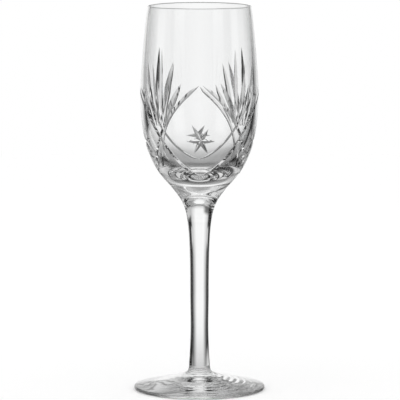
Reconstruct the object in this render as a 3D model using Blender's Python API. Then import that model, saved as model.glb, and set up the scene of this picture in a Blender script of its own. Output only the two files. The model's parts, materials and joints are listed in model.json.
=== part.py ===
"""Cut-crystal champagne glass: a blown and cut bowl, a drawn stem and a spun foot.

Metres, +Z up, axis on Z, resting on z = 0. One panel of the cut pattern faces -Y.
The three gathers meet at flat round joints: the bowl stands on the stem and the stem on the foot.
"""
import math

import bmesh
import bpy
from mathutils import Vector

for old in list(bpy.data.objects):
    bpy.data.objects.remove(old, do_unlink=True)

# Heights of the three pieces.
BOWL_H = 0.1059
STEM_L = 0.0877
FOOT_H = 0.0114

# Bowl, with heights measured up from its joint with the stem.
RIM_D = 0.0557
BELLY_D = 0.0634
BELLY_UP = 0.0601
FLANK_D = 0.0300
FLANK_UP = 0.0094
RIM_WALL = 0.0012
BELLY_WALL = 0.0028
FLOOR_UP = 0.0151
RIM_FLARE = math.radians(8.6)
FLANK_LEAN = math.radians(38.2)

# Stem, with its turning points as shares of its length up from the foot.
STEM_D = 0.0101
STEM_AT = 0.48
WAIST_D = 0.0097
WAIST_AT = 0.26
ANKLE_D = 0.0115
ANKLE_FLARE = math.radians(4.0)

# Foot.
FOOT_D = 0.0703
FOOT_EDGE = 0.0019
INSTEP_D = 0.0184
INSTEP_DROP = 0.0034
INSTEP_LEAN = math.radians(73.0)
REST_RING_W = 0.0020
FOOT_HOLLOW = 0.0021

# Cut pattern, with heights measured from the belly: arcs, fans at their crossings, a star in each panel.
PANELS = 4
CUT_HALF_ANGLE = math.radians(55)
CUT_CLEARANCE = 0.0004
ARC_DEPTH = 0.00067
ARC_CROWN = 0.6
APEX_ABOVE_BELLY = 0.0033
NODE_BELOW_BELLY = 0.0237
HEEL_BELOW_BELLY = 0.0440
FAN_DEPTH = 0.0011
FAN_STEP = math.radians(13)
FAN_LENGTHS = (0.0485, 0.0416, 0.0319)
FAN_START = 0.0060
STAR_DEPTH = 0.0010
STAR_BELOW_BELLY = 0.0259
STAR_REACH = 0.0085
STAR_BARS = 3

# Facets round the axis.
TURNS = 64


def bezier(p0, p1, p2, p3, t):
    s = 1 - t
    return tuple(
        s * s * s * a + 3 * s * s * t * b + 3 * s * t * t * c + t * t * t * d
        for a, b, c, d in zip(p0, p1, p2, p3)
    )


def span(start, end, pull_on, pull_back):
    """Curve between two knots of (radius, height, heading), its pulls as shares of their distance.

    A heading of 0 runs straight down, and a positive one turns outwards.
    """
    r0, z0, a0 = start
    r1, z1, a1 = end
    reach = math.hypot(r1 - r0, z1 - z0)
    on = reach * pull_on
    back = reach * pull_back
    return (
        (r0, z0),
        (r0 + math.sin(a0) * on, z0 - math.cos(a0) * on),
        (r1 - math.sin(a1) * back, z1 + math.cos(a1) * back),
        (r1, z1),
    )


def sample(curve, steps, t0=0.0, t1=1.0):
    return [bezier(*curve, t0 + (t1 - t0) * i / steps) for i in range(steps + 1)]


def share_at(curve, height):
    """Where along a curve that falls all the way it passes this height."""
    low, high = 0.0, 1.0
    for _ in range(50):
        mid = (low + high) / 2
        if bezier(*curve, mid)[1] > height:
            low = mid
        else:
            high = mid
    return low


def crystal(name):
    material = bpy.data.materials.new(name)
    material.use_nodes = True
    shader = material.node_tree.nodes["Principled BSDF"]
    shader.inputs["Base Color"].default_value = (0.95, 0.96, 0.96, 1)
    shader.inputs["Metallic"].default_value = 0.0
    shader.inputs["Roughness"].default_value = 0.02
    shader.inputs["IOR"].default_value = 1.54
    shader.inputs["Transmission Weight"].default_value = 1.0
    return material


def shade(mesh):
    mesh.shade_smooth()
    mesh.set_sharp_from_angle(angle=math.radians(25))


def turned(name, outline, below=None, up=0.0):
    """One solid turned from an outline of (radius, height) that starts and ends on the axis."""
    bm = bmesh.new()
    rings = []
    for radius, height in outline:
        if radius == 0:
            rings.append([bm.verts.new((0, 0, height))])
            continue
        ring = []
        for i in range(TURNS):
            angle = 2 * math.pi * (i + 0.5) / TURNS
            ring.append(bm.verts.new((radius * math.cos(angle), radius * math.sin(angle), height)))
        rings.append(ring)
    for ring, after in zip(rings, rings[1:]):
        for i in range(TURNS):
            j = (i + 1) % TURNS
            corners = (
                ring[i % len(ring)],
                ring[j % len(ring)],
                after[j % len(after)],
                after[i % len(after)],
            )
            bm.faces.new(list(dict.fromkeys(corners)))
    bmesh.ops.recalc_face_normals(bm, faces=bm.faces)
    mesh = bpy.data.meshes.new(name)
    bm.to_mesh(mesh)
    bm.free()
    shade(mesh)
    mesh.materials.append(crystal(name + "_crystal"))
    obj = bpy.data.objects.new(name, mesh)
    obj.parent = below
    obj.location.z = up
    bpy.context.scene.collection.objects.link(obj)
    return obj


# Outside of the bowl and the stem as one run of curves, with heights from the bowl's joint.
rim = (RIM_D / 2, BOWL_H, RIM_FLARE)
belly = (BELLY_D / 2, BELLY_UP, 0.0)
flank = (FLANK_D / 2, FLANK_UP, -FLANK_LEAN)
neck = (STEM_D / 2, (STEM_AT - 1) * STEM_L, 0.0)
waist = (WAIST_D / 2, (WAIST_AT - 1) * STEM_L, 0.0)
ankle = (ANKLE_D / 2, -STEM_L, ANKLE_FLARE)
shoulder = span(rim, belly, 0.187, 0.124)
side = span(belly, flank, 0.707, 0.127)
throat = span(flank, neck, 0.224, 0.808)
shank = span(neck, waist, 0.4, 0.4)
shin = span(waist, ankle, 0.42, 0.25)
seam = share_at(throat, 0.0)
seam_r = bezier(*throat, seam)[0]


def foot():
    """Sloping top, rounded edge, flat rest ring and an underside that rises smoothly from it."""
    top = (ANKLE_D / 2, FOOT_H, ANKLE_FLARE)
    instep = (INSTEP_D / 2, FOOT_H - INSTEP_DROP, INSTEP_LEAN)
    brim_r = FOOT_D / 2 - FOOT_EDGE * 0.35
    brim = (brim_r, FOOT_EDGE, math.radians(77))
    rim_out = (FOOT_D / 2, FOOT_EDGE / 2, 0.0)
    rest_out = (FOOT_D / 2 - FOOT_EDGE * 0.6, 0.0, math.radians(-90))
    rest_in = (rest_out[0] - REST_RING_W, 0.0, math.radians(-90))
    crown = (0.0, FOOT_HOLLOW, math.radians(-90))
    rows = sample(span(top, instep, 0.39, 0.43), 4)
    rows += sample(span(instep, brim, 0.22, 0.22), 4)[1:]
    rows += sample(span(brim, rim_out, 0.5, 0.4), 2)[1:]
    rows += sample(span(rim_out, rest_out, 0.5, 0.5), 3)[1:]
    rows += sample(span(rest_in, crown, 0.4, 0.5), 6)[:-1]
    return turned("foot", [(0, FOOT_H)] + rows + [(0, FOOT_HOLLOW)])


def stem(below):
    rows = [(seam_r, 0.0)]
    rows += sample(throat, 9, seam)[1:]
    rows += sample(shank, 2)[1:]
    rows += sample(shin, 5)[1:]
    rows = [(radius, height + STEM_L) for radius, height in rows[:-1]]
    rows += [(ANKLE_D / 2, 0.0)]
    return turned("stem", [(0, STEM_L)] + rows + [(0, 0.0)], below, FOOT_H)


def blank_bowl(below):
    """The bowl before cutting: cavity, round lip, and the outside down to the joint."""
    lip_r = RIM_WALL / 2
    inner_rim = (RIM_D / 2 - RIM_WALL, BOWL_H - lip_r, RIM_FLARE)
    inner_belly = (BELLY_D / 2 - BELLY_WALL, BELLY_UP, 0.0)
    floor = (0.0, FLOOR_UP, math.radians(-90))
    inside = sample(span(inner_rim, inner_belly, 0.187, 0.124), 4)
    inside += sample(span(inner_belly, floor, 0.63, 0.29), 11)[1:-1]
    rows = [(0, FLOOR_UP)] + inside[::-1]
    for i in range(1, 5):
        angle = math.pi * i / 4
        across = RIM_D / 2 - lip_r - math.cos(angle) * lip_r
        rows.append((across, BOWL_H - lip_r + math.sin(angle) * lip_r))
    rows += sample(shoulder, 7)[1:]
    rows += sample(side, 12)[1:]
    rows += sample(throat, 4, 0.0, seam)[1:-1]
    rows += [(seam_r, 0.0), (0, 0.0)]
    return turned("bowl", rows, below, STEM_L)


WALL = sample(shoulder, 60) + sample(side, 120)[1:] + sample(throat, 40, 0.0, seam)[1:]


def skin(angle, height):
    """Point and outward direction on the outside of the bowl. Angle 0 is -Y."""
    for (r0, z0), (r1, z1) in zip(WALL, WALL[1:]):
        if z1 <= height:
            break
    radius = r0 + (r1 - r0) * (z0 - height) / (z0 - z1)
    out = Vector((math.sin(angle), -math.cos(angle), 0))
    normal = (out + Vector((0, 0, (r1 - r0) / (z0 - z1)))).normalized()
    return out * radius + Vector((0, 0, height)), normal


def radius_at(height):
    return skin(0, height)[0].to_2d().length


def wheel_cut(name, path, bowl, group):
    """Cutter for one V groove along a path of (angle, height, depth) on the outside of the bowl."""
    spots = [skin(angle, height) for angle, height, _ in path]
    bm = bmesh.new()
    rings = []
    for i, (point, normal) in enumerate(spots):
        ahead = spots[min(i + 1, len(spots) - 1)][0] - spots[max(i - 1, 0)][0]
        across = normal.cross(ahead).normalized()
        depth = path[i][2]
        half = (depth + CUT_CLEARANCE) * math.tan(CUT_HALF_ANGLE)
        top = point + normal * CUT_CLEARANCE
        corners = (point - normal * depth, top + across * half, top - across * half)
        rings.append([bm.verts.new(corner) for corner in corners])
    for ring, after in zip(rings, rings[1:]):
        for i in range(3):
            j = (i + 1) % 3
            bm.faces.new((ring[i], ring[j], after[j], after[i]))
    bm.faces.new(rings[0])
    bm.faces.new(rings[-1])
    bmesh.ops.recalc_face_normals(bm, faces=bm.faces)
    mesh = bpy.data.meshes.new(name)
    bm.to_mesh(mesh)
    bm.free()
    obj = bpy.data.objects.new(name, mesh)
    obj.parent = bowl
    obj.hide_render = True
    obj.display_type = "WIRE"
    group.objects.link(obj)


RUN_OUT = -CUT_CLEARANCE / 2


def arc_path(middle, hand, steps=16, fade=0.12):
    """From the apex of one panel through a crossing to the heel of the next.

    With an ARC_CROWN of 1 it would fall evenly from the apex to the crossing; less rounds the apex.
    """
    upper = APEX_ABOVE_BELLY + NODE_BELOW_BELLY
    lower = HEEL_BELOW_BELLY - NODE_BELOW_BELLY
    heel = 2 - (2 - ARC_CROWN) * upper / lower
    path = []
    for i in range(steps + 1):
        share = i / steps
        if share <= 0.5:
            gone = share * 2
            height = BELLY_UP + APEX_ABOVE_BELLY - upper * (ARC_CROWN * gone + (1 - ARC_CROWN) * gone * gone)
        else:
            left = 2 - share * 2
            height = BELLY_UP - HEEL_BELOW_BELLY + lower * (heel * left + (1 - heel) * left * left)
        end = min(share, 1 - share, fade) / fade
        depth = RUN_OUT + (ARC_DEPTH - RUN_OUT) * math.sin(end * math.pi / 2)
        path.append((middle + hand * 2 * math.pi / PANELS * share, height, depth))
    return path


def ray_path(node, lean, reach, steps=7, full=0.4, start_depth=0.2, blunt=2.4):
    """One ray of a fan: deepest part of the way out, and running out at its tip."""
    height = BELLY_UP - NODE_BELOW_BELLY
    path = []
    for i in range(steps + 1):
        share = i / steps
        far = FAN_START + (reach - FAN_START) * share
        if share < full:
            depth = FAN_DEPTH * (start_depth + (1 - start_depth) * share / full)
        else:
            depth = RUN_OUT + (FAN_DEPTH - RUN_OUT) * (1 - ((share - full) / (1 - full)) ** blunt)
        path.append((node + far * math.sin(lean) / radius_at(height), height + far * math.cos(lean), depth))
    return path


def star_path(middle, turn, steps=8, taper=1.5):
    """One bar of a star, deepest at the middle."""
    height = BELLY_UP - STAR_BELOW_BELLY
    path = []
    for i in range(steps + 1):
        share = 2 * i / steps - 1
        along = STAR_REACH * share
        depth = RUN_OUT + (STAR_DEPTH - RUN_OUT) * (1 - abs(share) ** taper)
        path.append((middle + along * math.cos(turn) / radius_at(height), height + along * math.sin(turn), depth))
    return path


def keep_largest_shell(obj):
    """Fixes the cuts in the mesh, without any crumb left between two grooves."""
    bpy.context.view_layer.update()
    graph = bpy.context.evaluated_depsgraph_get()
    mesh = bpy.data.meshes.new_from_object(obj.evaluated_get(graph))
    bm = bmesh.new()
    bm.from_mesh(mesh)
    bmesh.ops.triangulate(bm, faces=bm.faces)
    left = set(bm.faces)
    shells = []
    while left:
        start = left.pop()
        shell = [start]
        for face in shell:
            for edge in face.edges:
                if len(edge.link_faces) > 2:
                    continue
                for other in edge.link_faces:
                    if other in left:
                        left.remove(other)
                        shell.append(other)
        shells.append(shell)
    shells.sort(key=len)
    for shell in shells[:-1]:
        bmesh.ops.delete(bm, geom=shell, context="FACES")
    bm.to_mesh(mesh)
    bm.free()
    shade(mesh)
    obj.modifiers.clear()
    obj.data = mesh


def cut(bowl):
    group = bpy.data.collections.new("cuts")
    bpy.context.scene.collection.children.link(group)
    outermost = len(FAN_LENGTHS) - 1
    for panel in range(PANELS):
        middle = 2 * math.pi / PANELS * panel
        node = middle + math.pi / PANELS
        for hand in (1, -1):
            wheel_cut(f"arc_{panel}_{hand}", arc_path(middle, hand), bowl, group)
        for ray in range(-outermost, outermost + 1):
            path = ray_path(node, FAN_STEP * ray, FAN_LENGTHS[abs(ray)])
            wheel_cut(f"fan_{panel}_{ray}", path, bowl, group)
        for bar in range(STAR_BARS):
            wheel_cut(f"star_{panel}_{bar}", star_path(middle, math.pi / STAR_BARS * bar), bowl, group)
    grooves = bowl.modifiers.new("grooves", "BOOLEAN")
    grooves.operation = "DIFFERENCE"
    grooves.solver = "EXACT"
    grooves.operand_type = "COLLECTION"
    grooves.collection = group
    keep_largest_shell(bowl)


cut(blank_bowl(stem(foot())))
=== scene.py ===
"""Looks of the cut-crystal champagne glass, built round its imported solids.

Metres, +Z up. The bowl, stem and foot are turned again from the same curves with finer rows, and the
bowl's grooves are cut with finer strokes, so that the glass bends light the way the real one does.
"""

import json
import math

import bmesh
import bpy
import numpy as np
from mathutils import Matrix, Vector, kdtree

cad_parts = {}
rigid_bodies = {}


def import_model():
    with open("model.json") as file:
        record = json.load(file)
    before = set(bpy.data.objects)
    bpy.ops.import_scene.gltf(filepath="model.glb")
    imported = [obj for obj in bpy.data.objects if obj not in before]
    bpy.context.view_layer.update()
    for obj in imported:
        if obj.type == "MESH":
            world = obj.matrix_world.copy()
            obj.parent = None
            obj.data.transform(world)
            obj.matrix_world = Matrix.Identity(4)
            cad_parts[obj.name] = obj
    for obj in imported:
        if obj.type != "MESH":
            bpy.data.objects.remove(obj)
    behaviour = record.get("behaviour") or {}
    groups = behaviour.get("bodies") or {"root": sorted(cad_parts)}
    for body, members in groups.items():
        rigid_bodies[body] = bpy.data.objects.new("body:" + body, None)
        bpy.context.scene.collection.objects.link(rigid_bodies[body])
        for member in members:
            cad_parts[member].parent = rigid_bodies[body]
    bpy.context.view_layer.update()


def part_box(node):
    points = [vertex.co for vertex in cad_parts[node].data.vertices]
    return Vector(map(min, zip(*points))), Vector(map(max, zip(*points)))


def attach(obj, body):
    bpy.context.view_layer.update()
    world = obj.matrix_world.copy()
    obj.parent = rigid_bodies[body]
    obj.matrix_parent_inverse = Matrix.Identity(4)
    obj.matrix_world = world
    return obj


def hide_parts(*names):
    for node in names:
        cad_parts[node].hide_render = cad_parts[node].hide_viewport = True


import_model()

# Heights of the three pieces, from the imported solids.
FOOT_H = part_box("foot")[1].z
STEM_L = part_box("stem")[1].z - FOOT_H
BOWL_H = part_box("bowl")[1].z - FOOT_H - STEM_L

# Bowl, with heights measured up from its joint with the stem.
RIM_D = 0.0557
BELLY_D = 0.0634
BELLY_UP = 0.0601
FLANK_D = 0.0300
FLANK_UP = 0.0094
RIM_WALL = 0.0012
BELLY_WALL = 0.0028
FLOOR_UP = 0.0151
RIM_FLARE = math.radians(8.6)
FLANK_LEAN = math.radians(38.2)

# Stem, with its turning points as shares of its length up from the foot.
STEM_D = 0.0101
STEM_AT = 0.48
WAIST_D = 0.0097
WAIST_AT = 0.26
ANKLE_D = 0.0115
ANKLE_FLARE = math.radians(4.0)

# Foot, with the inward reach of its rounded edge, above and below, as shares of the edge's height.
FOOT_D = 0.0703
FOOT_EDGE = 0.0019
EDGE_LEAN = math.radians(77)
EDGE_TOP_IN = 0.35
EDGE_FOOT_IN = 0.6
INSTEP_D = 0.0184
INSTEP_DROP = 0.0034
INSTEP_LEAN = math.radians(73.0)
REST_RING_W = 0.0020
FOOT_HOLLOW = 0.0021

# Cut pattern, with heights measured from the belly.
PANELS = 4
CUT_HALF_ANGLE = math.radians(55)
CUT_CLEARANCE = 0.0004
RUN_OUT = -CUT_CLEARANCE / 2
ARC_DEPTH = 0.00067
ARC_CROWN = 0.6
APEX_ABOVE_BELLY = 0.0033
NODE_BELOW_BELLY = 0.0237
HEEL_BELOW_BELLY = 0.0440
FAN_DEPTH = 0.0011
FAN_STEP = math.radians(13)
FAN_LENGTHS = (0.0485, 0.0416, 0.0319)
FAN_START = 0.0060
STAR_DEPTH = 0.0010
STAR_BELOW_BELLY = 0.0259
STAR_REACH = 0.0085
STAR_BARS = 3

# Table, just clear of the glass.
SHEET_GAP = 0.0001
SHEET_R = 6.0

# Meshes: faces round the axis, the angle at which an edge is sharp, and a curve's heading straight inwards.
TURNS = 192
SHARP = math.radians(14)
INWARDS = math.radians(-90)

# Material slots. Worked surfaces are the bowl's cuts and the foot's rest ring.
SKIN, JOINT, INSIDE, WORKED = range(4)

# Crystal, and how much of a lamp's light each of its surfaces lets through.
CRYSTAL_IOR = 1.54
CRYSTAL_TINT = (0.995, 0.998, 0.998, 1)
LAMP_THROUGH = (0.82, 0.82, 0.82, 1)

# Rings left by spinning the foot: pitch, height, and the stretch along X over which they come in.
RING_PITCH = 0.0035
RING_HEIGHT = 0.00006
RINGS_FROM = -0.016
RINGS_FULL = 0.004

# Lamp, and how often light may pass through or bounce off the glass.
KEY_PLACE = (-0.7, -0.5, 1.6)
KEY_SIZE = 1.2
KEY_WATTS = 1.0
THROUGH_GLASS = 32
OFF_GLASS = 16

# Camera: level with the lower bowl, aimed a little down at the top of the stem.
CAMERA_AWAY = 0.8013
CAMERA_UP = 0.14305
CAMERA_AZIMUTH = math.radians(-1.5)
CAMERA_LENS = 134.6
AIM_UP = 0.10155
AIM_RIGHT = 0.0003


# Curves.

def span(start, end, pull_on, pull_back):
    """Curve between two knots of (radius, height, heading), its pulls as shares of their distance.

    A heading of 0 runs straight down, and a positive one turns outwards.
    """
    r0, z0, a0 = start
    r1, z1, a1 = end
    reach = math.hypot(r1 - r0, z1 - z0)
    on = reach * pull_on
    back = reach * pull_back
    return np.array((
        (r0, z0),
        (r0 + math.sin(a0) * on, z0 - math.cos(a0) * on),
        (r1 - math.sin(a1) * back, z1 + math.cos(a1) * back),
        (r1, z1),
    ))


def sample(curve, steps, t0=0.0, t1=1.0):
    """Rows of (radius, height) along a curve."""
    t = np.linspace(t0, t1, steps + 1)[:, None]
    s = 1 - t
    return s ** 3 * curve[0] + 3 * s * s * t * curve[1] + 3 * s * t * t * curve[2] + t ** 3 * curve[3]


def join(*runs):
    """Rows of several runs that follow each other, with their shared ends once."""
    return np.vstack([runs[0]] + [run[1:] for run in runs[1:]])


def share_at(curve, height):
    """Where along a curve that falls all the way it passes this height."""
    low, high = 0.0, 1.0
    for _ in range(50):
        mid = (low + high) / 2
        if sample(curve, 1, mid, mid)[0][1] > height:
            low = mid
        else:
            high = mid
    return low


# Outside of the bowl and the stem as one run of curves, with heights from the bowl's joint.
lip_r = RIM_WALL / 2
lip_mid = (RIM_D / 2 - lip_r * math.cos(RIM_FLARE), BOWL_H - lip_r)
lip_out = (RIM_D / 2, BOWL_H - lip_r + lip_r * math.sin(RIM_FLARE), RIM_FLARE)
lip_in = (lip_mid[0] - lip_r * math.cos(RIM_FLARE), lip_mid[1] - lip_r * math.sin(RIM_FLARE), RIM_FLARE)
belly = (BELLY_D / 2, BELLY_UP, 0.0)
flank = (FLANK_D / 2, FLANK_UP, -FLANK_LEAN)
neck = (STEM_D / 2, (STEM_AT - 1) * STEM_L, 0.0)
waist = (WAIST_D / 2, (WAIST_AT - 1) * STEM_L, 0.0)
ankle = (ANKLE_D / 2, -STEM_L, ANKLE_FLARE)
shoulder = span(lip_out, belly, 0.187, 0.124)
side = span(belly, flank, 0.707, 0.127)
throat = span(flank, neck, 0.224, 0.808)
shank = span(neck, waist, 0.4, 0.4)
shin = span(waist, ankle, 0.42, 0.25)
seam = share_at(throat, 0.0)


def lip(steps):
    """Rows over the rounded lip, from the inside to the outside."""
    angles = math.pi + RIM_FLARE - np.linspace(0, math.pi, steps + 1)
    return np.stack((lip_mid[0] + lip_r * np.cos(angles), lip_mid[1] + lip_r * np.sin(angles)), 1)


# Inside of the bowl.
inner_belly = (BELLY_D / 2 - BELLY_WALL, BELLY_UP, 0.0)
floor_mid = (0.0, FLOOR_UP, INWARDS)
inner_shoulder = span(lip_in, inner_belly, 0.187, 0.124)
inner_side = span(inner_belly, floor_mid, 0.63, 0.29)


# Turned pieces.

def turned(name, strips, up, materials):
    """One closed mesh turned from strips of (rows, slot) that run from the axis back to the axis."""
    bm = bmesh.new()
    angles = 2 * math.pi * (np.arange(TURNS) + 0.5) / TURNS
    turns = np.stack((np.cos(angles), np.sin(angles)), 1)

    def ring(radius, height):
        if radius < 1e-9:
            return [bm.verts.new((0, 0, height + up))]
        return [bm.verts.new((radius * c, radius * s, height + up)) for c, s in turns]

    last = ring(*strips[0][0][0])
    for rows, slot in strips:
        for row in rows[1:]:
            after = ring(*row)
            for i in range(TURNS):
                j = (i + 1) % TURNS
                corners = (
                    last[i % len(last)], last[j % len(last)],
                    after[j % len(after)], after[i % len(after)],
                )
                bm.faces.new(list(dict.fromkeys(corners))).material_index = slot
            last = after
    bmesh.ops.recalc_face_normals(bm, faces=bm.faces)
    mesh = bpy.data.meshes.new(name)
    bm.to_mesh(mesh)
    bm.free()
    for material in materials:
        mesh.materials.append(material)
    obj = bpy.data.objects.new(name, mesh)
    bpy.context.scene.collection.objects.link(obj)
    return obj


def true_normals(obj, outlines, up):
    """Smooth shading with the exact slope of the turned outlines, given as slot: rows.

    Faces of other slots keep their own smooth or sharp shading.
    """
    mesh = obj.data
    mesh.shade_smooth()
    mesh.set_sharp_from_angle(angle=SHARP)
    normals = np.empty(len(mesh.loops) * 3, np.float32)
    mesh.corner_normals.foreach_get("vector", normals)
    normals = normals.reshape(-1, 3).astype(float)
    points = np.empty(len(mesh.vertices) * 3, np.float32)
    mesh.vertices.foreach_get("co", points)
    points = points.reshape(-1, 3)
    for slot, rows in outlines.items():
        ahead = np.gradient(rows, axis=0)
        ahead /= np.linalg.norm(ahead, axis=1)[:, None]
        tree = kdtree.KDTree(len(rows))
        for i, (radius, height) in enumerate(rows):
            tree.insert((radius, height, 0), i)
        tree.balance()
        known = {}
        for face in mesh.polygons:
            if face.material_index != slot:
                continue
            for corner in face.loop_indices:
                spot = mesh.loops[corner].vertex_index
                if spot not in known:
                    x, y, z = points[spot]
                    radius = math.hypot(x, y)
                    _, i, _ = tree.find((radius, z - up, 0))
                    dr, dz = ahead[i]
                    if radius < 1e-6:
                        known[spot] = (0.0, 0.0, dr)
                    else:
                        known[spot] = (-dz * x / radius, -dz * y / radius, dr)
                flip = 1 if np.dot(known[spot], face.normal) > 0 else -1
                normals[corner] = np.multiply(known[spot], flip)
    mesh.normals_split_custom_set([tuple(n) for n in normals])


# Cuts.

WALL = join(sample(shoulder, 200), sample(side, 400), sample(throat, 100, 0.0, seam))


def skin(angle, height):
    """Point and outward direction on the outside of the bowl. Angle 0 is -Y."""
    i = int(np.clip(np.searchsorted(-WALL[:, 1], -height), 1, len(WALL) - 1))
    (r0, z0), (r1, z1) = WALL[i - 1], WALL[i]
    radius = r0 + (r1 - r0) * (z0 - height) / (z0 - z1)
    out = Vector((math.sin(angle), -math.cos(angle), 0))
    normal = (out + Vector((0, 0, (r1 - r0) / (z0 - z1)))).normalized()
    return out * radius + Vector((0, 0, height)), normal


def radius_at(height):
    """Radius of the outside of the bowl."""
    return skin(0, height)[0].to_2d().length


def wheel_cut(name, path, up, materials, group):
    """Cutter for one V groove along a path of (angle, height, depth) on the outside of the bowl."""
    spots = [skin(angle, height) for angle, height, _ in path]
    lift = Vector((0, 0, up))
    bm = bmesh.new()
    rings = []
    for i, (point, normal) in enumerate(spots):
        ahead = spots[min(i + 1, len(spots) - 1)][0] - spots[max(i - 1, 0)][0]
        across = normal.cross(ahead).normalized()
        depth = path[i][2]
        half = (depth + CUT_CLEARANCE) * math.tan(CUT_HALF_ANGLE)
        top = point + normal * CUT_CLEARANCE
        corners = (point - normal * depth, top + across * half, top - across * half)
        rings.append([bm.verts.new(corner + lift) for corner in corners])
    for ring, after in zip(rings, rings[1:]):
        for i in range(3):
            j = (i + 1) % 3
            bm.faces.new((ring[i], ring[j], after[j], after[i]))
    bm.faces.new(rings[0])
    bm.faces.new(rings[-1])
    bmesh.ops.recalc_face_normals(bm, faces=bm.faces)
    for face in bm.faces:
        face.material_index = WORKED
    mesh = bpy.data.meshes.new(name)
    bm.to_mesh(mesh)
    bm.free()
    for material in materials:
        mesh.materials.append(material)
    group.objects.link(bpy.data.objects.new(name, mesh))


def arc_path(middle, hand, steps=64, fade=0.12):
    """From the apex of one panel through a crossing to the heel of the next.

    With an ARC_CROWN of 1 it would fall evenly from the apex to the crossing; less rounds the apex.
    """
    upper = APEX_ABOVE_BELLY + NODE_BELOW_BELLY
    lower = HEEL_BELOW_BELLY - NODE_BELOW_BELLY
    heel = 2 - (2 - ARC_CROWN) * upper / lower
    path = []
    for i in range(steps + 1):
        share = i / steps
        if share <= 0.5:
            gone = share * 2
            fallen = ARC_CROWN * gone + (1 - ARC_CROWN) * gone * gone
            height = BELLY_UP + APEX_ABOVE_BELLY - upper * fallen
        else:
            left = 2 - share * 2
            risen = heel * left + (1 - heel) * left * left
            height = BELLY_UP - HEEL_BELOW_BELLY + lower * risen
        end = min(share, 1 - share, fade) / fade
        depth = RUN_OUT + (ARC_DEPTH - RUN_OUT) * math.sin(end * math.pi / 2)
        path.append((middle + hand * 2 * math.pi / PANELS * share, height, depth))
    return path


def ray_path(node, lean, reach, steps=24, full=0.4, start_depth=0.2, blunt=2.4):
    """One ray of a fan: deepest part of the way out, and running out at its tip."""
    height = BELLY_UP - NODE_BELOW_BELLY
    path = []
    for i in range(steps + 1):
        share = i / steps
        far = FAN_START + (reach - FAN_START) * share
        if share < full:
            depth = FAN_DEPTH * (start_depth + (1 - start_depth) * share / full)
        else:
            depth = RUN_OUT + (FAN_DEPTH - RUN_OUT) * (1 - ((share - full) / (1 - full)) ** blunt)
        angle = node + far * math.sin(lean) / radius_at(height)
        path.append((angle, height + far * math.cos(lean), depth))
    return path


def star_path(middle, turn, steps=16, taper=1.5):
    """One bar of a star, deepest at the middle."""
    height = BELLY_UP - STAR_BELOW_BELLY
    path = []
    for i in range(steps + 1):
        share = 2 * i / steps - 1
        along = STAR_REACH * share
        depth = RUN_OUT + (STAR_DEPTH - RUN_OUT) * (1 - abs(share) ** taper)
        angle = middle + along * math.cos(turn) / radius_at(height)
        path.append((angle, height + along * math.sin(turn), depth))
    return path


def keep_largest_shell(obj):
    """Fixes the cuts in the mesh, without any crumb left between two grooves."""
    bpy.context.view_layer.update()
    graph = bpy.context.evaluated_depsgraph_get()
    mesh = bpy.data.meshes.new_from_object(obj.evaluated_get(graph))
    bm = bmesh.new()
    bm.from_mesh(mesh)
    left = set(bm.faces)
    shells = []
    while left:
        start = left.pop()
        shell = [start]
        for face in shell:
            for edge in face.edges:
                if len(edge.link_faces) > 2:
                    continue
                for other in edge.link_faces:
                    if other in left:
                        left.remove(other)
                        shell.append(other)
        shells.append(shell)
    shells.sort(key=len)
    for shell in shells[:-1]:
        bmesh.ops.delete(bm, geom=shell, context="FACES")
    bm.to_mesh(mesh)
    bm.free()
    obj.modifiers.clear()
    obj.data = mesh


def cut(bowl, up):
    """Cuts every panel's arcs, fan and star into the bowl."""
    materials = list(bowl.data.materials)
    group = bpy.data.collections.new("cuts")
    bpy.context.scene.collection.children.link(group)
    outermost = len(FAN_LENGTHS) - 1
    for panel in range(PANELS):
        middle = 2 * math.pi / PANELS * panel
        node = middle + math.pi / PANELS
        for hand in (1, -1):
            wheel_cut(f"arc_{panel}_{hand}", arc_path(middle, hand), up, materials, group)
        for ray in range(-outermost, outermost + 1):
            path = ray_path(node, FAN_STEP * ray, FAN_LENGTHS[abs(ray)])
            wheel_cut(f"fan_{panel}_{ray}", path, up, materials, group)
        for bar in range(STAR_BARS):
            path = star_path(middle, math.pi / STAR_BARS * bar)
            wheel_cut(f"star_{panel}_{bar}", path, up, materials, group)
    grooves = bowl.modifiers.new("grooves", "BOOLEAN")
    grooves.operation = "DIFFERENCE"
    grooves.solver = "EXACT"
    grooves.material_mode = "INDEX"
    grooves.operand_type = "COLLECTION"
    grooves.collection = group
    keep_largest_shell(bowl)
    for cutter in list(group.objects):
        bpy.data.objects.remove(cutter, do_unlink=True)
    bpy.data.collections.remove(group)


# Materials.

def node_in(tree, kind, **sockets):
    """A shader node with its sockets set by name."""
    node = tree.nodes.new("ShaderNode" + kind)
    for name, value in sockets.items():
        node.inputs[name.replace("_", " ")].default_value = value
    return node


def math_in(tree, operation, *values):
    """A math node of values that are numbers or sockets; gives its output."""
    node = tree.nodes.new("ShaderNodeMath")
    node.operation = operation
    for socket, value in zip(node.inputs, values):
        if isinstance(value, (int, float)):
            socket.default_value = value
        else:
            tree.links.new(value, socket)
    return node.outputs[0]


def ramp_in(tree, factor, stops):
    """A grey ramp of (place, level) stops; gives its output."""
    node = tree.nodes.new("ShaderNodeValToRGB")
    marks = node.color_ramp.elements
    while len(marks) < len(stops):
        marks.new(0.5)
    for mark, (place, level) in zip(marks, stops):
        mark.position = place
        mark.color = (level, level, level, 1)
    tree.links.new(factor, node.inputs[0])
    return node.outputs[0]


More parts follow.
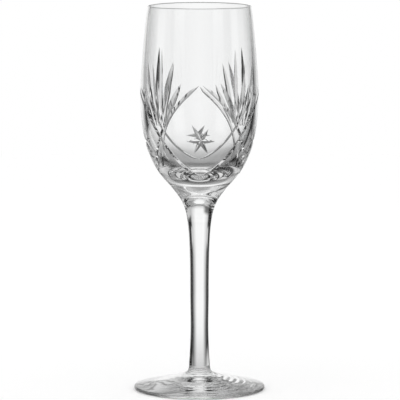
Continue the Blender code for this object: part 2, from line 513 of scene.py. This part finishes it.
def crystal(name, stretch, scale, ripple, smooth, worn):
    """Clear lead crystal that lets lamps through, with shallow ripples and an uneven polish.

    Ripples are noise of this scale, stretched by a factor for each axis, ripple metres high.
    The roughness runs between smooth and worn.
    """
    material = bpy.data.materials.new(name)
    material.use_nodes = True
    tree = material.node_tree
    link = tree.links.new
    glass = tree.nodes["Principled BSDF"]
    glass.inputs["Base Color"].default_value = CRYSTAL_TINT
    glass.inputs["IOR"].default_value = CRYSTAL_IOR
    glass.inputs["Transmission Weight"].default_value = 1.0
    place = tree.nodes.new("ShaderNodeTexCoord")
    squeeze = node_in(tree, "Mapping", Scale=stretch)
    link(place.outputs["Object"], squeeze.inputs["Vector"])
    waves = node_in(tree, "TexNoise", Scale=scale, Detail=2.0, Roughness=0.4)
    link(squeeze.outputs[0], waves.inputs["Vector"])
    bump = node_in(tree, "Bump", Strength=1.0, Distance=ripple)
    link(waves.outputs[0], bump.inputs["Height"])
    link(bump.outputs[0], glass.inputs["Normal"])
    haze = node_in(tree, "TexNoise", Scale=scale * 3, Detail=4.0)
    link(squeeze.outputs[0], haze.inputs["Vector"])
    polish = node_in(tree, "MapRange", From_Min=0.35, From_Max=0.75, To_Min=smooth, To_Max=worn)
    link(haze.outputs[0], polish.inputs[0])
    link(polish.outputs[0], glass.inputs["Roughness"])
    path = tree.nodes.new("ShaderNodeLightPath")
    clear = node_in(tree, "BsdfTransparent", Color=LAMP_THROUGH)
    mix = tree.nodes.new("ShaderNodeMixShader")
    link(path.outputs["Is Shadow Ray"], mix.inputs[0])
    link(glass.outputs[0], mix.inputs[1])
    link(clear.outputs[0], mix.inputs[2])
    link(mix.outputs[0], tree.nodes["Material Output"].inputs["Surface"])
    return material


def spin_rings(material):
    """Adds the shallow, wandering rings round the axis that spinning leaves, fainter towards -X."""
    tree = material.node_tree
    link = tree.links.new
    place = tree.nodes["Texture Coordinate"].outputs["Object"]
    scale = math.pi / 10 / RING_PITCH
    rings = node_in(tree, "TexWave", Scale=scale, Distortion=1.0, Detail=1.0, Detail_Scale=0.4)
    rings.wave_type = "RINGS"
    rings.rings_direction = "Z"
    link(place, rings.inputs["Vector"])
    parts = tree.nodes.new("ShaderNodeSeparateXYZ")
    link(place, parts.inputs[0])
    fade = node_in(tree, "MapRange", From_Min=RINGS_FROM, From_Max=RINGS_FULL)
    link(parts.outputs["X"], fade.inputs[0])
    bump = node_in(tree, "Bump", Strength=1.0, Distance=RING_HEIGHT)
    link(math_in(tree, "MULTIPLY", rings.outputs["Fac"], fade.outputs[0]), bump.inputs["Height"])
    link(bump.outputs[0], tree.nodes["Bump"].inputs["Normal"])


def fused():
    """The joint of two gathers melted together: light passes it unbent."""
    material = bpy.data.materials.new("fused_joint")
    material.use_nodes = True
    tree = material.node_tree
    tree.nodes.remove(tree.nodes["Principled BSDF"])
    clear = node_in(tree, "BsdfTransparent", Color=(1, 1, 1, 1))
    tree.links.new(clear.outputs[0], tree.nodes["Material Output"].inputs["Surface"])
    return material


def settle(obj, node):
    """Hands a finished piece to the frame, in place of its solid."""
    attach(obj, "root")
    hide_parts(node)


# The glass.

joint_mat = fused()
blown = crystal("blown_crystal", (1, 1, 0.5), scale=70, ripple=0.00001, smooth=0.0, worn=0.01)
polished = crystal("polished_cut", (1, 1, 1), scale=900, ripple=0.000002, smooth=0.005, worn=0.03)
drawn = crystal("drawn_crystal", (1, 1, 0.08), scale=260, ripple=0.000006, smooth=0.0, worn=0.01)
spun = crystal("spun_crystal", (1, 1, 4), scale=60, ripple=0.000003, smooth=0.0, worn=0.012)
spin_rings(spun)
rested = crystal("rest_scuffs", (1, 1, 1), scale=1500, ripple=0.000004, smooth=0.01, worn=0.25)

bowl_up = FOOT_H + STEM_L
inside = join(sample(inner_shoulder, 24), sample(inner_side, 56))
outside = join(lip(12), sample(shoulder, 32), sample(side, 64), sample(throat, 16, 0.0, seam))
bowl = turned("cut_bowl", [
    (inside[::-1], INSIDE),
    (outside, SKIN),
    (np.array((outside[-1], (0, 0))), JOINT),
], bowl_up, (blown, joint_mat, blown, polished))
cut(bowl, bowl_up)
true_normals(bowl, {
    SKIN: join(lip(120), sample(shoulder, 800), sample(side, 1600), sample(throat, 400, 0.0, seam)),
    INSIDE: join(sample(inner_shoulder, 600), sample(inner_side, 1600)),
}, bowl_up)
settle(bowl, "bowl")

shaft = join(sample(throat, 60, seam), sample(shank, 16), sample(shin, 32))
stem = turned("drawn_stem", [
    (np.array(((0, 0), shaft[0])), JOINT),
    (shaft, SKIN),
    (np.array((shaft[-1], (0, -STEM_L))), JOINT),
], bowl_up, (drawn, joint_mat))
true_normals(stem, {
    SKIN: join(sample(throat, 1200, seam), sample(shank, 300), sample(shin, 600)),
}, bowl_up)
settle(stem, "stem")

top = (ANKLE_D / 2, FOOT_H, ANKLE_FLARE)
instep = (INSTEP_D / 2, FOOT_H - INSTEP_DROP, INSTEP_LEAN)
brim = (FOOT_D / 2 - FOOT_EDGE * EDGE_TOP_IN, FOOT_EDGE, EDGE_LEAN)
rim_out = (FOOT_D / 2, FOOT_EDGE / 2, 0.0)
rest_out = (FOOT_D / 2 - FOOT_EDGE * EDGE_FOOT_IN, 0.0, INWARDS)
rest_in = (rest_out[0] - REST_RING_W, 0.0, INWARDS)
crown = (0.0, FOOT_HOLLOW, INWARDS)
upper = (
    span(top, instep, 0.39, 0.43),
    span(instep, brim, 0.22, 0.22),
    span(brim, rim_out, 0.5, 0.4),
    span(rim_out, rest_out, 0.5, 0.5),
)
hollow = span(rest_in, crown, 0.4, 0.5)
foot_top = join(*(sample(curve, steps) for curve, steps in zip(upper, (24, 24, 8, 8))))
foot_hollow = sample(hollow, 24)
foot = turned("spun_foot", [
    (np.array(((0, FOOT_H), foot_top[0])), JOINT),
    (foot_top, SKIN),
    (np.array((foot_top[-1], foot_hollow[0])), WORKED),
    (foot_hollow, INSIDE),
], 0.0, (spun, joint_mat, spun, rested))
true_normals(foot, {
    SKIN: join(*(sample(curve, 400) for curve in upper)),
    INSIDE: sample(hollow, 600),
}, 0.0)
settle(foot, "foot")


# Studio.

def studio():
    """White to the camera. Glass sees lit panels with dark gaps between them, all round."""
    world = bpy.data.worlds.new("studio")
    bpy.context.scene.world = world
    world.use_nodes = True
    tree = world.node_tree
    link = tree.links.new
    plain = tree.nodes["Background"]
    plain.inputs["Color"].default_value = (1, 1, 1, 1)
    plain.inputs["Strength"].default_value = 1.0
    place = tree.nodes.new("ShaderNodeTexCoord")
    parts = tree.nodes.new("ShaderNodeSeparateXYZ")
    link(place.outputs["Generated"], parts.inputs[0])
    x, y, z = parts.outputs
    turn = math_in(tree, "MULTIPLY_ADD", math_in(tree, "ARCTAN2", x, y), 0.5 / math.pi, 0.5)
    high = math_in(tree, "MULTIPLY_ADD", math_in(tree, "ARCSINE", z), 1 / math.pi, 0.5)

    def round_about(*stops):
        """Level by degrees to the right of +Y."""
        return ramp_in(tree, turn, [(degrees / 360 + 0.5, level) for degrees, level in stops])

    def up_and_down(*stops):
        """Level by degrees above the horizon."""
        return ramp_in(tree, high, [(degrees / 180 + 0.5, level) for degrees, level in stops])

    def patch(round_stops, up_stops):
        """A panel that is lit by both."""
        return math_in(tree, "MULTIPLY", round_about(*round_stops), up_and_down(*up_stops))

    backdrop = patch((
        (-45, 0.01), (-36, 0.04), (-31, 0.58), (-26, 0.76), (-19, 0.90), (-13, 1.0),
        (13, 1.0), (19, 0.85), (26, 0.72), (31, 0.55), (36, 0.04), (45, 0.01),
    ), (
        (-60, 0.12), (-36, 0.15), (-31, 0.28), (-27, 0.36), (-20, 0.40), (-15, 0.56),
        (-12, 0.80), (-9, 0.94), (-6, 1.0), (20, 1.0), (28, 0.75), (34, 0.3),
    ))
    low_wings = patch(
        ((-33, 0.72), (-25, 0.4), (-17, 0.05), (-12, 0.0), (12, 0.0), (18, 0.15), (25, 0.36), (33, 0.7)),
        ((-8, 1.0), (-3.5, 0.5), (-1, 0.0)),
    )
    upper_left = patch(
        ((-65, 0.85), (-18, 0.75), (-8, 0.0)),
        ((11, 0.0), (16, 1.0), (30, 1.0), (33, 0.0)),
    )
    level = backdrop
    for shade in (low_wings, upper_left):
        level = math_in(tree, "MULTIPLY", level, math_in(tree, "SUBTRACT", 1.0, shade))
    lights = (
        # Slit along the horizon.
        patch(
            ((-43, 0.0), (-40, 0.6), (37, 0.6), (41, 0.0)),
            ((-2.5, 0.0), (-1, 1.0), (3, 1.0), (5, 0.0)),
        ),
        # Side panels, and a card high on the right.
        patch((
            (-104, 0.0), (-97, 0.8), (-83, 0.8), (-76, 0.1), (-62, 0.1), (-56, 0.0),
            (58, 0.0), (72, 0.6), (108, 0.68), (115, 0.0),
        ), ((-14, 0.0), (-9, 1.0), (8, 1.0), (14, 0.0))),
        patch(
            ((22, 0.0), (29, 0.5), (65, 0.65), (75, 0.0)),
            ((9, 0.0), (14, 1.0), (28, 1.0), (36, 0.6), (50, 0.0)),
        ),
        # Cards near the table.
        patch((
            (-115, 0.0), (-105, 0.4), (-62, 0.4), (-50, 0.9),
            (-40, 0.9), (-34, 0.6), (-27, 0.6), (-22, 0.0),
            (21, 0.0), (26, 0.4), (37, 0.4), (41, 0.0),
        ), ((-37, 0.0), (-32, 1.0), (-16, 1.0), (-12, 0.0))),
        patch((
            (-152, 0.0), (-145, 0.9), (-125, 0.9), (-118, 0.0),
            (118, 0.0), (125, 0.9), (145, 0.9), (152, 0.0),
        ), ((-33, 0.0), (-27, 1.0), (-7, 1.0), (-3, 0.0))),
        # Fill from the front.
        patch(
            ((-180, 0.5), (-150, 0.35), (-110, 0.0), (110, 0.0), (150, 0.35), (180, 0.5)),
            ((-27, 0.0), (-15, 1.0), (20, 1.0), (30, 0.0)),
        ),
        # Ceiling.
        patch((
            (-160, 0.9), (-130, 0.3), (-70, 0.12), (-38, 0.15), (-32, 0.7), (-22, 0.7),
            (-15, 0.4), (-5, 0.3), (5, 0.3), (13, 0.4), (19, 0.5), (28, 0.38),
            (38, 0.25), (70, 0.3), (130, 0.3), (160, 0.9),
        ), ((32, 0.0), (37, 1.0))),
        patch(((-28, 0.7), (-10, 0.5), (10, 0.5), (20, 0.3)), ((42, 0.0), (47, 1.0))),
        # Overhead softbox, and the table below.
        up_and_down((60, 0.0), (70, 1.0)),
        up_and_down((-62, 0.75), (-50, 0.0)),
    )
    for light in lights:
        level = math_in(tree, "MAXIMUM", level, light)
    lit = tree.nodes.new("ShaderNodeBackground")
    link(level, lit.inputs["Color"])
    path = tree.nodes.new("ShaderNodeLightPath")
    bent = math_in(tree, "MAXIMUM", path.outputs["Is Glossy Ray"], path.outputs["Is Transmission Ray"])
    mix = tree.nodes.new("ShaderNodeMixShader")
    link(bent, mix.inputs[0])
    link(plain.outputs[0], mix.inputs[1])
    link(lit.outputs[0], mix.inputs[2])
    link(mix.outputs[0], tree.nodes["World Output"].inputs["Surface"])


def tabletop():
    """A wide white sheet that takes the soft shadow. Of it, glass sees only the round under the foot."""
    material = bpy.data.materials.new("white_sheet")
    material.use_nodes = True
    paper = material.node_tree.nodes["Principled BSDF"]
    paper.inputs["Base Color"].default_value = (1.0, 1.0, 1.0, 1)
    paper.inputs["Roughness"].default_value = 0.9
    paper.inputs["Specular IOR Level"].default_value = 0.0
    under_foot = (FOOT_D - FOOT_EDGE) / 2
    for name, inner, outer in (("sheet", under_foot, SHEET_R), ("sheet_under_foot", 0.0, under_foot)):
        bm = bmesh.new()
        bmesh.ops.create_circle(bm, cap_ends=not inner, radius=outer, segments=TURNS)
        if inner:
            bmesh.ops.create_circle(bm, cap_ends=False, radius=inner, segments=TURNS)
            bmesh.ops.bridge_loops(bm, edges=bm.edges)
        bmesh.ops.translate(bm, verts=bm.verts, vec=(0, 0, -SHEET_GAP))
        mesh = bpy.data.meshes.new(name)
        bm.to_mesh(mesh)
        bm.free()
        mesh.materials.append(material)
        obj = bpy.data.objects.new(name, mesh)
        obj.visible_transmission = not inner
        obj.visible_glossy = False
        bpy.context.scene.collection.objects.link(obj)


def softbox(name, place, size, watts):
    """A round lamp aimed at the foot, which glass doesn't show."""
    lamp = bpy.data.lights.new(name, "AREA")
    lamp.shape = "DISK"
    lamp.size = size
    lamp.energy = watts
    obj = bpy.data.objects.new(name, lamp)
    obj.location = place
    obj.rotation_euler = Vector(place).to_track_quat("Z", "Y").to_euler()
    obj.visible_glossy = False
    obj.visible_transmission = False
    bpy.context.scene.collection.objects.link(obj)


def camera():
    """The photograph's point of view."""
    data = bpy.data.cameras.new("camera")
    data.sensor_width = 36.0
    data.lens = CAMERA_LENS
    data.clip_start = 0.1
    data.clip_end = 100.0
    obj = bpy.data.objects.new("camera", data)
    right = Vector((math.cos(CAMERA_AZIMUTH), math.sin(CAMERA_AZIMUTH), 0))
    back = Vector((math.sin(CAMERA_AZIMUTH), -math.cos(CAMERA_AZIMUTH), 0))
    shift = right * AIM_RIGHT
    obj.location = back * CAMERA_AWAY + shift + Vector((0, 0, CAMERA_UP))
    aim = shift + Vector((0, 0, AIM_UP))
    obj.rotation_euler = (aim - obj.location).to_track_quat("-Z", "Y").to_euler()
    bpy.context.scene.collection.objects.link(obj)
    bpy.context.scene.camera = obj


studio()
tabletop()
softbox("key", KEY_PLACE, KEY_SIZE, KEY_WATTS)
camera()

scene = bpy.context.scene
scene.view_settings.view_transform = "Standard"
scene.cycles.max_bounces = THROUGH_GLASS
scene.cycles.transmission_bounces = THROUGH_GLASS
scene.cycles.glossy_bounces = OFF_GLASS
scene.cycles.transparent_max_bounces = THROUGH_GLASS
